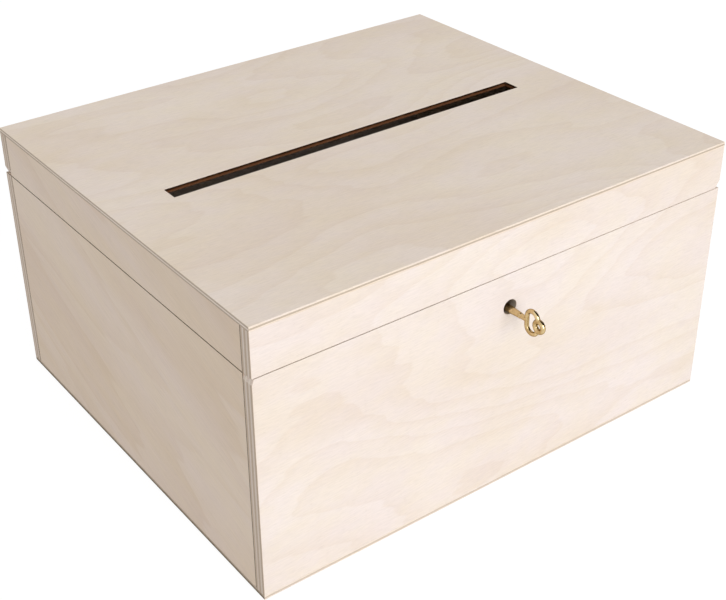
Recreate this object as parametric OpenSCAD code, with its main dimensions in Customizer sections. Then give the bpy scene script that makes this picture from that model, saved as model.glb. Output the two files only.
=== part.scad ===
/* [Box] */
// Width of the box, left to right
box_w = 290; // [220:1:400]
// Depth of the box, front to back
box_d = 249; // [180:1:340]
// Height of the base, from the underside to the joint with the lid
base_h = 124; // [80:1:200]
// Height of the lid, from the joint to the top
lid_h = 26; // [22:1:60]
// Thickness of the plywood boards that make the two frames
board_t = 7; // [6:0.5:12]
// Thickness of the panel on top of the lid frame
top_t = 2.5; // [2:0.5:5]
// Thickness of the panel under the base frame
floor_t = 2.5; // [2:0.5:5]
// Height of the joint line between the lid and the base
lid_gap = 0.3; // [0.2:0.05:0.6]

/* [End bevels] */
// Height of the bevels on the ends of the front board and of the lid's front rail
front_bevel_h = 3.9; // [1:0.1:6]
// Width of the same bevels, at the joint
front_bevel_w = 2.7; // [0.5:0.1:5]
// Height of the bevel on the end of the lid's back rail
back_bevel_h = 3.1; // [1:0.1:6]
// Width of the same bevel, at the joint
back_bevel_w = 1.2; // [0.5:0.1:5]

/* [Card slot] */
// Length of the card slot, along the width of the lid
slot_l = 222; // [120:1:250]
// Width of the card slot
slot_w = 10.4; // [6:0.2:20]

/* [Keyhole and key] */
// Drop from the joint to the axis of the key
key_drop = 20.1; // [19.5:0.1:24]
// Diameter of the keyhole in the front board
keyhole_dia = 8; // [7.8:0.2:11]
// Rise of the keyhole's middle above the axis of the key
keyhole_rise = 1.15; // [0.9:0.05:1.5]
// Diameter of the hollow barrel of the key
barrel_dia = 3.7; // [3.6:0.1:4.2]
// Diameter of the barrel's outer end, to which it tapers from the front board on
barrel_tip_dia = 2.9; // [2.7:0.1:3.5]
// Reach of the key's bit from the axis of the key
bit_reach = 4.9; // [4.6:0.1:5]
// Thickness of the bit
bit_t = 2; // [1.6:0.1:2.2]
// Width of the bit along the key
bit_w = 4; // [3:0.25:4.25]
// Length of the barrel that stands out of the front board
barrel_out = 7; // [4:0.5:12]
// Diameter of the rounded bead between the barrel and the neck
bead_dia = 3.1; // [3:0.1:6]
// Width of the bead
bead_w = 0.8; // [0.6:0.1:1.2]
// Diameter of the neck that carries the bow
neck_dia = 2.6; // [2.4:0.1:2.9]
// Length of the neck, up to the middle of the bow's first bar
neck_l = 4; // [3:0.1:6]
// Diameter of the round stock of the bow
bow_dia = 2.3; // [1.8:0.1:2.8]
// Radius of each of the bow's two lobes, at the middle of the stock
lobe_r = 3.6; // [3.2:0.1:4.6]
// Spread of the lobes, from the axis of the key to the middle of each
lobe_spread = 2.4; // [2:0.1:2.6]
// Radius of the small ring at the end of the bow, at the middle of the stock
ring_r = 2.6; // [2.4:0.1:3.2]
// Angle that the key turns through while its bit carries the bolt, in degrees
key_throw = 48; // [40:1:50]

/* [Lock] */
// Width of the lock's face plate
plate_w = 46; // [45:1:60]
// Thickness of the face plate
plate_t = 1; // [0.8:0.1:1.4]
// Width of the lock case
case_w = 37; // [36.5:0.5:38]
// Depth of the space inside the lock case
case_depth = 5.5; // [5.2:0.1:7]
// Thickness of the walls of the lock case
case_t = 0.8; // [0.6:0.1:1]
// Depth of the lock case below the axis of the key
case_below = 6; // [5.5:0.5:9]
// Thickness of the bolt
bolt_t = 2; // [1.6:0.1:2.2]
// Height of the bolt's bar
bar_h = 6; // [5.6:0.1:6.4]
// Distance that the bolt slides
bolt_travel = 3.4; // [3:0.1:3.6]
// Width of each riser that carries a hook of the bolt
riser_w = 3.5; // [2.5:0.25:3.75]
// Height of each hook of the bolt
hook_h = 2.8; // [2.2:0.1:3]
// Diameter of the two studs that guide the bolt
stud_dia = 2; // [1.6:0.1:2.2]
// Diameter of the pin that the hollow key turns on
drill_pin_dia = 2; // [1.6:0.1:2.2]
// Thickness of the bolt's bow spring
spring_t = 0.4; // [0.3:0.1:0.5]

/* [Strike] */
// Thickness of the strike's sheet metal
strike_t = 1.2; // [1:0.1:1.4]
// Width of each tongue of the strike
tongue_w = 6; // [5.5:0.25:6.5]
// Distance between the two tongues, centre to centre
tongue_pitch = 16; // [15.5:0.25:16.5]
// Height of the foot under the notch of each tongue
foot_h = 3; // [2.4:0.1:3.2]
// Height of the strike's plate above the joint
strike_h = 13; // [11:0.5:17]

/* [Hinges] */
// Distance of each hinge from the middle of the back
hinge_x = 85; // [40:1:95]
// Length of each hinge
hinge_l = 25; // [20:1:40]
// Width of each leaf, from the pin
leaf_w = 10; // [9:0.5:14]
// Thickness of each leaf
leaf_t = 0.9; // [0.8:0.05:1.1]
// Outer diameter of the knuckles
knuckle_dia = 3.6; // [3.2:0.1:5]
// Diameter of the hinge pin
hinge_pin_dia = 1.8; // [1.4:0.1:2]

/* [Screws] */
// Diameter of the screws
screw_dia = 2; // [1.6:0.1:2.4]
// Diameter of the screws' countersunk heads
screw_head_dia = 3.7; // [3.4:0.1:4]
// Length of the screws
screw_l = 6; // [4.5:0.25:6.25]

/* [Clearances] */
// Gap between faces that slide on each other inside the lock
slide_gap = 0.1; // [0.05:0.05:0.15]
// Gap between pieces inside the lock that pass each other without touching
free_gap = 0.5; // [0.4:0.05:0.6]
// Radial gap between a turning piece and the pin that it turns on
turn_gap = 0.08; // [0.05:0.01:0.1]
// Radial gap between a fixed pin or screw and its hole
fixed_gap = 0.03; // [0.01:0.01:0.05]

/* [Hidden] */
$fn = 64;
// A cut runs this far past the face it opens
over = 0.5;
// A solid runs this far into the one it is joined to
sunk = 1;

// Colours of the finishes
wood = "#f0e4d6";
brass = "#c9a75a";
steel = "#a9abad";

// The box: the front is at -Y, the underside at zero height
front_y = -box_d / 2;
back_y = box_d / 2;
inner_y = front_y + board_t;
side_x = box_w / 2;
top_z = base_h + lid_h;
base_top = base_h - lid_gap / 2;
lid_bottom = base_h + lid_gap / 2;

// The key's axis runs along Y, in the middle of the front
key_z = base_h - key_drop;
barrel_r = barrel_dia / 2;
keyhole_z = key_z + keyhole_rise;

// The lock, from the inner face of the front board backwards
plate_y = inner_y + plate_t;
case_y = plate_y + case_depth;
bolt_y = plate_y + slide_gap;
bit_y = plate_y + free_gap;
bolt_back = bolt_y + bolt_t;
tongue_y = bolt_y + (bolt_t - strike_t) / 2;
barrel_end = case_y - free_gap;
// The face plate's top lies below the joint, and its foot reaches below the case
plate_drop = 0.6;
plate_foot = 1.5;
case_drop = 0.4;
// The drill pin reaches this far past the face plate, and the key's bore runs on a little
pin_tip = 1.5;
bore_spare = 1;
// Heads of the pins that are riveted in the back of the case
rivet_h = 0.4;
rivet_rim = 0.5;
lock_top = base_h - plate_drop;
plate_bottom = key_z - case_below - plate_foot;

// The bolt's outline, measured from the key's axis
// Gaps that the bolt needs over what it passes and beside what it hooks
pass_gap = 0.3;
hook_gap = 0.4;
bar_z = barrel_r + hook_gap;
bar_top = bar_z + bar_h;
talon_top = bit_reach + pass_gap;
// The notch is wider behind the bit than ahead of it, because the bit's root lags its tip
talon_lag = 1.15;
talon_ahead = bit_t / 2 + hook_gap;
talon_behind = talon_ahead + talon_lag;
foot_clear = 1.1;
foot_z = bar_top + foot_clear;
notch_z = foot_z + foot_h;
hook_z = notch_z + pass_gap;
hook_top = hook_z + hook_h;
notch_top = hook_top + pass_gap;
// The hook reaches past the bolt's travel, and the notch past it again
hook_grip = 0.6;
notch_grip = 0.2;
hook_l = bolt_travel + hook_grip;
notch_l = bolt_travel + notch_grip;
// The left edges of the two tongues; the pair stands a little to the left of the key
tongue_shift = 0.1;
tongue_x = [-tongue_pitch / 2 - tongue_shift, tongue_pitch / 2 - tongue_shift];
bar_left = tongue_x[0] - hook_gap - hook_l - riser_w;
bar_tail = 4.1;
bar_right = tongue_x[1] + bar_tail;
// The studs stand in the right ends of their slots while the lock is open
stud_inset = [6.5, 2.5];
stud_x = [bar_left + stud_inset[0], bar_right - stud_inset[1]];
stud_z = bar_z + bar_h / 2;

// The hinges turn on an axis along X, behind the joint
knuckle_r = knuckle_dia / 2;
// The knuckles stand clear of the boards by this much
knuckle_stand = 0.25;
hinge_y = back_y + knuckle_r + knuckle_stand;
hinge_z = base_h;
knuckle_gap = 0.3;
knuckle_l = hinge_l / 3;
leaf_screw_x = hinge_l / 3.4;
leaf_margin = 1.2;
leaf_screw_z = leaf_w - screw_head_dia / 2 - leaf_margin;

// The screws
screw_r = screw_dia / 2;
head_r = screw_head_dia / 2;
head_h = head_r - screw_r;
pilot_spare = 0.3;
pilot_depth = screw_l + pilot_spare;
// Sheet metal beside a screw's head, at the plate's side and at its end
plate_margin = [0.8, 1];
lock_screw_x = plate_w / 2 - head_r - plate_margin[0];
lock_screw_z = [plate_bottom + head_r + plate_margin[1], lock_top - head_r - plate_margin[1]];
strike_screw_x = 9.5;
strike_margin = [2.5, 2];
strike_screw_z = base_h + strike_h - head_r - strike_margin[1];
strike_w = 2 * (strike_screw_x + head_r + strike_margin[0]);

// A box between two opposite corners
module block(low, high) {
    translate(low) cube(high - low);
}

// A cylinder along Y between two places
module rod_y(x, z, y0, y1, r) {
    translate([x, y0, z]) rotate([-90, 0, 0]) cylinder(h = y1 - y0, r = r);
}

// A countersunk wood screw, its head at zero height and its tip pointing down
module screw() {
    difference() {
        union() {
            translate([0, 0, -head_h]) cylinder(h = head_h, r1 = screw_r, r2 = head_r);
            translate([0, 0, -screw_l + screw_r]) cylinder(h = screw_l - screw_r - head_h, r = screw_r);
            translate([0, 0, -screw_l]) cylinder(h = screw_r, r1 = 0.2, r2 = screw_r);
        }
        translate([-head_r, -0.25, -head_h / 2]) cube([2 * head_r, 0.5, head_h]);
    }
}

// The hole that such a screw needs in sheet metal, from the same place
module sheet_hole(depth) {
    translate([0, 0, -head_h]) cylinder(h = head_h, r1 = screw_r + fixed_gap, r2 = head_r + fixed_gap);
    translate([0, 0, -depth - over]) cylinder(h = depth + 2 * over, r = screw_r + fixed_gap);
}

// The pilot hole that it needs in a board
module pilot_hole() {
    translate([0, 0, -pilot_depth]) cylinder(h = pilot_depth + over, r = screw_r + fixed_gap);
}

// Places its children at the lock's four screws, which point to the front
module at_lock_screws() {
    for (x = [-lock_screw_x, lock_screw_x], z = lock_screw_z)
        translate([x, plate_y, z]) rotate([-90, 0, 0]) children();
}

// Places its children at the strike's two screws, which point to the front
module at_strike_screws() {
    for (x = [-strike_screw_x, strike_screw_x])
        translate([x, inner_y + strike_t, strike_screw_z]) rotate([-90, 0, 0]) children();
}

// Places its children at the screws of both hinges; side is -1 below the joint and 1 above it
module at_hinge_screws(side) {
    for (h = [-hinge_x, hinge_x], x = [-leaf_screw_x, leaf_screw_x])
        translate([h + x, back_y + leaf_t, hinge_z + side * leaf_screw_z]) rotate([-90, 0, 0]) children();
}

// Extrudes an outline drawn in X and Z between two places along Y
module slab(y0, y1) {
    translate([0, y1, 0]) rotate([90, 0, 0]) linear_extrude(height = y1 - y0) children();
}

// A rectangle with round corners
module round_rect(low, high, r) {
    translate([low[0] + r, low[1]]) square([high[0] - low[0] - 2 * r, high[1] - low[1]]);
    translate([low[0], low[1] + r]) square([high[0] - low[0], high[1] - low[1] - 2 * r]);
    for (x = [low[0] + r, high[0] - r], z = [low[1] + r, high[1] - r])
        translate([x, z]) circle(r = r);
}

// The bevel on one end of a board, at the joint; s is -1 on the left and 1 on the right,
// and side is -1 below the joint and 1 above it
module end_bevel(s, side, y0, y1, w, h) {
    slope = h / w;
    edge_z = base_h + side * lid_gap / 2;
    slab(y0 - over, y1 + over)
        polygon([
            [s * (side_x - w - over), edge_z - side * over * slope],
            [s * (side_x + over), edge_z + side * (h + over * slope)],
            [s * (side_x + over), edge_z - side * over * slope]
        ]);
}

// Base ---------------------------------------------------------------------

module bottom_panel() {
    color(wood) block([-side_x, front_y, 0], [side_x, back_y, floor_t]);
}

// The front board covers the ends of the side boards and carries the lock
module front_board() {
    color(wood) difference() {
        block([-side_x, front_y, floor_t], [side_x, inner_y, base_top]);
        end_bevel(-1, -1, front_y, inner_y, front_bevel_w, front_bevel_h);
        rod_y(0, keyhole_z, front_y - over, inner_y + over, keyhole_dia / 2);
        at_lock_screws() pilot_hole();
    }
}

module back_board() {
    color(wood) difference() {
        block([-side_x, back_y - board_t, floor_t], [side_x, back_y, base_top]);
        at_hinge_screws(-1) pilot_hole();
    }
}

// A side board between the front and back boards; s is -1 on the left and 1 on the right
module side_board(s, z0, z1) {
    x = side_x - board_t / 2;
    block([s * x - board_t / 2, inner_y, z0], [s * x + board_t / 2, back_y - board_t, z1]);
}

module left_board() {
    color(wood) side_board(-1, floor_t, base_top);
}

module right_board() {
    color(wood) side_board(1, floor_t, base_top);
}

// Lid ----------------------------------------------------------------------

module lid_panel() {
    color(wood) difference() {
        block([-side_x, front_y, top_z - top_t], [side_x, back_y, top_z]);
        block([-slot_l / 2, -slot_w / 2, top_z - top_t - over], [slot_l / 2, slot_w / 2, top_z + over]);
    }
}

module lid_front_rail() {
    color(wood) difference() {
        block([-side_x, front_y, lid_bottom], [side_x, inner_y, top_z - top_t]);
        end_bevel(1, 1, front_y, inner_y, front_bevel_w, front_bevel_h);
        at_strike_screws() pilot_hole();
    }
}

module lid_back_rail() {
    color(wood) difference() {
        block([-side_x, back_y - board_t, lid_bottom], [side_x, back_y, top_z - top_t]);
        end_bevel(-1, 1, back_y - board_t, back_y, back_bevel_w, back_bevel_h);
        at_hinge_screws(1) pilot_hole();
    }
}

module lid_left_rail() {
    color(wood) side_board(-1, lid_bottom, top_z - top_t);
}

module lid_right_rail() {
    color(wood) side_board(1, lid_bottom, top_z - top_t);
}

// Hinges -------------------------------------------------------------------

// A cylinder along X on the hinge axis, between two places measured from the hinge's middle
module on_pin(x0, x1, r) {
    translate([x0, hinge_y, hinge_z]) rotate([0, 90, 0]) cylinder(h = x1 - x0, r = r);
}

// One leaf; side is -1 below the joint and 1 above it, own and other list the knuckles' ends
module leaf(side, own, other, bore_r) {
    reach = side * leaf_w;
    difference() {
        union() {
            block(
                [-hinge_l / 2, back_y, hinge_z + min(0, reach)],
                [hinge_l / 2, back_y + leaf_t, hinge_z + max(0, reach)]
            );
            for (k = own) on_pin(k[0], k[1], knuckle_r);
        }
        for (k = other) on_pin(k[0] - knuckle_gap, k[1] + knuckle_gap, knuckle_r + knuckle_gap);
        on_pin(-hinge_l, hinge_l, bore_r);
        for (x = [-leaf_screw_x, leaf_screw_x])
            translate([x, back_y + leaf_t, hinge_z + side * leaf_screw_z])
                rotate([-90, 0, 0]) sheet_hole(leaf_t);
    }
}

// The base leaf has the two outer knuckles and the lid leaf has the middle one
outer_knuckles = [[-hinge_l / 2, -knuckle_l / 2], [knuckle_l / 2, hinge_l / 2]];
middle_knuckle = [[knuckle_gap - knuckle_l / 2, knuckle_l / 2 - knuckle_gap]];

module base_leaf(x) {
    color(brass) translate([x, 0, 0])
        leaf(-1, outer_knuckles, middle_knuckle, hinge_pin_dia / 2 + fixed_gap);
}

module lid_leaf(x) {
    color(brass) translate([x, 0, 0])
        leaf(1, middle_knuckle, outer_knuckles, hinge_pin_dia / 2 + turn_gap);
}

// A pin with a small head at each end
module hinge_pin(x) {
    head_w = 0.5;
    head_step = 0.4;
    color(brass) translate([x, 0, 0]) {
        on_pin(-hinge_l / 2 - head_w, hinge_l / 2 + head_w, hinge_pin_dia / 2);
        for (x0 = [-hinge_l / 2 - head_w, hinge_l / 2])
            on_pin(x0, x0 + head_w, knuckle_r - head_step);
    }
}

module left_hinge_base_leaf() {
    base_leaf(-hinge_x);
}

module right_hinge_base_leaf() {
    base_leaf(hinge_x);
}

module left_hinge_lid_leaf() {
    lid_leaf(-hinge_x);
}

module right_hinge_lid_leaf() {
    lid_leaf(hinge_x);
}

module left_hinge_pin() {
    hinge_pin(-hinge_x);
}

module right_hinge_pin() {
    hinge_pin(hinge_x);
}

module base_hinge_screws() {
    color(brass) at_hinge_screws(-1) screw();
}

module lid_hinge_screws() {
    color(brass) at_hinge_screws(1) screw();
}

// Lock ---------------------------------------------------------------------

// The four tabs that hold the case on the face plate, as outlines in X and Z
module tab_outlines(gap) {
    tab_l = 4;
    tab_rise = 1;
    for (s = [-1, 1], z = [key_z - case_below + tab_rise, key_z + bar_top])
        translate([s * (case_w - case_t) / 2 - case_t / 2 - gap, z - gap])
            square([case_t + 2 * gap, tab_l + 2 * gap]);
}

// The face plate, screwed to the inside of the front board, with the keyhole
module lock_face_plate() {
    corner_r = 1.5;
    slot_half = bit_t / 2 + pass_gap;
    color(steel) difference() {
        slab(inner_y, plate_y)
            difference() {
                round_rect([-plate_w / 2, plate_bottom], [plate_w / 2, lock_top], corner_r);
                translate([0, key_z]) circle(r = barrel_r + pass_gap);
                translate([-slot_half, key_z]) square([2 * slot_half, bit_reach + free_gap]);
                tab_outlines(fixed_gap);
            }
        at_lock_screws() sheet_hole(plate_t);
    }
}

// The case: a stamped tray, open towards the face plate, with slots for the strike's tongues
module lock_case() {
    low = key_z - case_below;
    high = lock_top - case_drop;
    tongue_gap = 0.6;
    half = case_w / 2;
    color(steel) {
        difference() {
            block([-half, plate_y, low - case_t], [half, case_y + case_t, high]);
            block([case_t - half, plate_y - over, low], [half - case_t, case_y, high - case_t]);
            for (x = tongue_x)
                block(
                    [x - tongue_gap, plate_y - over, high - case_t - over],
                    [x + tongue_w + tongue_gap, tongue_y + strike_t + tongue_gap, high + over]
                );
            rod_y(0, key_z, case_y - over, case_y + case_t + over, drill_pin_dia / 2 + fixed_gap);
            for (x = stud_x)
                rod_y(x, key_z + stud_z, case_y - over, case_y + case_t + over, stud_dia / 2 + fixed_gap);
        }
        slab(inner_y, plate_y) tab_outlines(0);
    }
}

// The pin that the hollow key turns on, riveted in the back of the case
module drill_pin() {
    color(steel) {
        rod_y(0, key_z, plate_y - pin_tip, case_y + case_t + rivet_h, drill_pin_dia / 2);
        rod_y(0, key_z, case_y + case_t, case_y + case_t + rivet_h, drill_pin_dia / 2 + rivet_rim);
    }
}

module bolt_guide_studs() {
    color(steel)
        for (x = stud_x) {
            rod_y(x, key_z + stud_z, plate_y, case_y + case_t + rivet_h, stud_dia / 2);
            rod_y(x, key_z + stud_z, case_y + case_t, case_y + case_t + rivet_h, stud_dia / 2 + rivet_rim);
        }
}

module lock_screws() {
    color(steel) at_lock_screws() screw();
}

// The bolt's outline: a bar with the talon notch and two slots, and two risers with hooks
module bolt_outline() {
    difference() {
        union() {
            translate([bar_left, bar_z]) square([bar_right - bar_left, bar_h]);
            for (x = tongue_x) {
                riser_x = x - hook_gap - hook_l - riser_w;
                translate([riser_x, bar_top - sunk]) square([riser_w, hook_top - bar_top + sunk]);
                translate([riser_x, hook_z]) square([riser_w + hook_l, hook_h]);
            }
        }
        translate([-talon_behind, bar_z - over])
            square([talon_behind + talon_ahead, talon_top - bar_z + over]);
        for (x = stud_x) {
            slot_r = stud_dia / 2 + slide_gap;
            translate([x - bolt_travel, stud_z - slot_r]) square([bolt_travel, 2 * slot_r]);
            for (end = [x - bolt_travel, x])
                translate([end, stud_z]) circle(r = slot_r);
        }
    }
}

// The bolt slides sideways, so that its hooks catch the strike's tongues and hold the lid down
module lock_bolt() {
    color(brass) translate([0, 0, key_z]) slab(bolt_y, bolt_back) bolt_outline();
}

// A bow spring that rides behind the bolt and rubs on the case, so the bolt stays where it is put
module bolt_spring() {
    half_chord = 10;
    rest_y = bolt_back + slide_gap;
    crown_y = case_y - slide_gap;
    sagitta = crown_y - spring_t - rest_y;
    bend_r = (half_chord * half_chord + sagitta * sagitta) / (2 * sagitta);
    low = stud_z + stud_dia / 2 + pass_gap;
    color(steel) translate([(bar_left + bar_right) / 2, 0, key_z + low])
        linear_extrude(height = bar_top - low)
            difference() {
                translate([0, crown_y - bend_r - spring_t]) difference() {
                    circle(r = bend_r + spring_t);
                    circle(r = bend_r);
                }
                translate([-2 * bend_r, rest_y - 4 * bend_r]) square(4 * bend_r);
            }
}

// Key ----------------------------------------------------------------------

// Distances of the bow's centres from the front board, along the key
bow_bar_u = barrel_out + bead_w + neck_l;
lobe_u = bow_bar_u + lobe_r;
ring_u = lobe_u + lobe_r + sqrt(ring_r * ring_r - lobe_spread * lobe_spread);
bow_r = bow_dia / 2;
// The end ring's stock is a little stouter than the lobes'
ring_extra = 0.15;
ring_stock_r = bow_r + ring_extra;
// The neck narrows to the bow's stock over this length
shoulder = 1.2;

// Lays a shape drawn in X and Y into the bow's upright plane, X pointing out of the front
module in_bow_plane() {
    translate([0, front_y, key_z]) rotate([90, 0, -90]) children();
}

// Round stock bent to an arc in the bow's plane
module bent_stock(u, v, r, from, turn, stock_r) {
    translate([u, v, 0]) rotate([0, 0, from])
        rotate_extrude(angle = turn) translate([r, 0]) circle(r = stock_r);
}

// The bow: a bar, two lobes and a small ring, all bent from round stock
module key_bow() {
    in_bow_plane() {
        translate([bow_bar_u, -lobe_spread, 0]) rotate([-90, 0, 0])
            cylinder(h = 2 * lobe_spread, r = bow_r);
        bent_stock(lobe_u, lobe_spread, lobe_r, 0, 180, bow_r);
        bent_stock(lobe_u, -lobe_spread, lobe_r, 180, 180, bow_r);
        bent_stock(ring_u, 0, ring_r, 0, 360, ring_stock_r);
    }
}

// The shank: a hollow barrel that tapers outside the box, a bead, and a neck that runs into the bow
module key_shank() {
    bead_r = bead_w / 2;
    bead_u = barrel_out + bead_r;
    in_bow_plane() rotate([0, 90, 0]) {
        translate([0, 0, front_y - barrel_end]) cylinder(h = barrel_end - front_y, r = barrel_r);
        cylinder(h = bead_u, r1 = barrel_r, r2 = barrel_tip_dia / 2);
        translate([0, 0, bead_u]) rotate_extrude() translate([bead_dia / 2 - bead_r, 0]) circle(r = bead_r);
        translate([0, 0, barrel_out]) cylinder(h = bead_w + neck_l - bow_r - shoulder, r = neck_dia / 2);
        translate([0, 0, bow_bar_u - bow_r - shoulder])
            cylinder(h = bow_r + shoulder, r1 = neck_dia / 2, r2 = bow_r);
    }
}

module key() {
    bore_end = plate_y - pin_tip - bore_spare;
    // The ward cut in the bit's end
    ward_y = bit_y + bit_w * 0.6;
    ward_w = 0.8;
    ward_h = 1.6;
    root = 0.6;
    color(brass) difference() {
        union() {
            key_shank();
            key_bow();
            block(
                [-bit_t / 2, bit_y, key_z + barrel_r - root],
                [bit_t / 2, bit_y + bit_w, key_z + bit_reach]
            );
        }
        rod_y(0, key_z, bore_end, barrel_end + over, drill_pin_dia / 2 + turn_gap);
        block(
            [-bit_t, ward_y, key_z + bit_reach - ward_h],
            [bit_t, ward_y + ward_w, key_z + bit_reach + over]
        );
    }
}

// Strike -------------------------------------------------------------------

// The tongues' outlines; each has a notch, open to the left, and a bevelled foot
module tongue_outlines(top) {
    bevel = 1;
    for (x = tongue_x)
        difference() {
            polygon([
                [x, key_z + foot_z + bevel],
                [x + bevel, key_z + foot_z],
                [x + tongue_w - bevel, key_z + foot_z],
                [x + tongue_w, key_z + foot_z + bevel],
                [x + tongue_w, top],
                [x, top]
            ]);
            translate([x - over, key_z + notch_z])
                square([notch_l + over, notch_top - notch_z]);
        }
}

// The strike: a plate on the lid's front rail, stepped back into two tongues
module strike_plate() {
    step_z = base_h + 0.8;
    half = strike_w / 2;
    color(steel) {
        difference() {
            slab(inner_y, inner_y + strike_t)
                round_rect([-half, step_z], [half, base_h + strike_h], 1);
            at_strike_screws() sheet_hole(strike_t);
        }
        for (x = tongue_x)
            block([x, inner_y, step_z], [x + tongue_w, tongue_y + strike_t, step_z + strike_t]);
        slab(tongue_y, tongue_y + strike_t) tongue_outlines(step_z + strike_t);
    }
}

module strike_screws() {
    color(steel) at_strike_screws() screw();
}

bottom_panel();
front_board();
back_board();
left_board();
right_board();
lid_panel();
lid_front_rail();
lid_back_rail();
lid_left_rail();
lid_right_rail();
left_hinge_base_leaf();
right_hinge_base_leaf();
left_hinge_lid_leaf();
right_hinge_lid_leaf();
left_hinge_pin();
right_hinge_pin();
base_hinge_screws();
lid_hinge_screws();
lock_face_plate();
lock_case();
drill_pin();
bolt_guide_studs();
lock_screws();
lock_bolt();
bolt_spring();
key();
strike_plate();
strike_screws();
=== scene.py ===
"""Wedding card box: a plain birch plywood box with a hinged lid, a card slot, a box lock and a brass key.

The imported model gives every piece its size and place. This script eases the edges of the boards, runs
the key's solids together, dresses every piece, and sets up the studio and the camera.
"""
import logging
import math
from dataclasses import dataclass, field
from enum import Enum
from functools import partial
from typing import Callable, Sequence, Union

import bmesh
import bpy
from mathutils import Matrix, Vector


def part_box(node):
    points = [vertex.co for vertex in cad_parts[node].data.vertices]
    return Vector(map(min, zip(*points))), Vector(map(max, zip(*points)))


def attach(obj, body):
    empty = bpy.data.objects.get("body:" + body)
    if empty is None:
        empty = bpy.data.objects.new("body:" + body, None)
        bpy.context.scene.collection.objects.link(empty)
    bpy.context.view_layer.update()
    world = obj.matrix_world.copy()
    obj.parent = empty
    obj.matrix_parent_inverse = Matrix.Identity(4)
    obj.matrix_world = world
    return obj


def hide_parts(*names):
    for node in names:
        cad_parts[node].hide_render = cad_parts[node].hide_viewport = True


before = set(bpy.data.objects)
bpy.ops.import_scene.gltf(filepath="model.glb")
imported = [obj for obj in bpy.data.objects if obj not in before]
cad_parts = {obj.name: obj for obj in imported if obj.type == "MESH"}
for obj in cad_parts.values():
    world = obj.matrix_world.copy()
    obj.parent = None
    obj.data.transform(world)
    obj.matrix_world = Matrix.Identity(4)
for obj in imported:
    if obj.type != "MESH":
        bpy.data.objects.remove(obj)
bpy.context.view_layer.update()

MM = 0.001
NEAR = 0.02 * MM
FOLD = math.radians(25.0)  # the least angle of an edge that is eased
BEYOND = 1.0  # a place outside the box, in metres
SLOT_HALF = (111.1 * MM, 5.3 * MM)  # half the card slot, with a little to spare
KEYHOLE_HEIGHT = 105.0 * MM
KEYHOLE_HALF = 4.1 * MM  # half the keyhole, with a little to spare

log = logging.getLogger("card_box")

Socket = bpy.types.NodeSocket
Value = Union[float, Sequence[float], Socket]
EdgeTest = Callable[[Vector, Vector], bool]
PointTest = Callable[[Vector], bool]
FaceTest = Callable[[bpy.types.MeshPolygon], bool]


class Axis(Enum):
    """The three axes of the box: along its front, from front to back, and up."""

    ALONG = 0
    BACK = 1
    UP = 2


class Body(Enum):
    """The bodies that the modelled pieces ride on."""

    BASE = "base"
    LID = "lid"
    KEY = "key"


class Slot(Enum):
    """The material slots of the modelled pieces."""

    PLYWOOD = "birch_plywood"
    KEY = "key_brass"


class LightTint(Enum):
    """Painted light: tints that give each side of the box the colour of the light falling on it, cooler on
    the lit front and back, warmer on the shaded sides.
    """

    BARE = (1.0, 1.0, 1.0)
    ROSY = (1.0, 1.007, 1.045)
    PLAIN = (1.018, 1.006, 0.990)
    HONEY = (1.0, 0.948, 0.892)


class Pitch(Enum):
    """Cycles per metre of the wood's patterns: along the grain, across it and into the board."""

    HILLS = (4.2, 11.0, 12.0)
    RIPPLE = (16.0, 70.0, 50.0)
    TONE = (7.0, 15.0, 11.0)
    MOTTLE = (24.0, 34.0, 30.0)
    FIBRE = (130.0, 1500.0, 1500.0)
    PORE = (300.0, 3600.0, 3600.0)
    WAVER = (45.0, 45.0, 8.0)
    TUBES = (2600.0, 2600.0, 2600.0)


class Finish(Enum):
    """Which of a board's materials an eased edge takes."""

    NEIGHBOUR = -1
    # seams and side lips: laser char, deepened as painted shade in the grooves
    BURNT = 1
    # front and back lips: painted shade of the joint
    RUBBED = 2


# Node trees ------------


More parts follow.
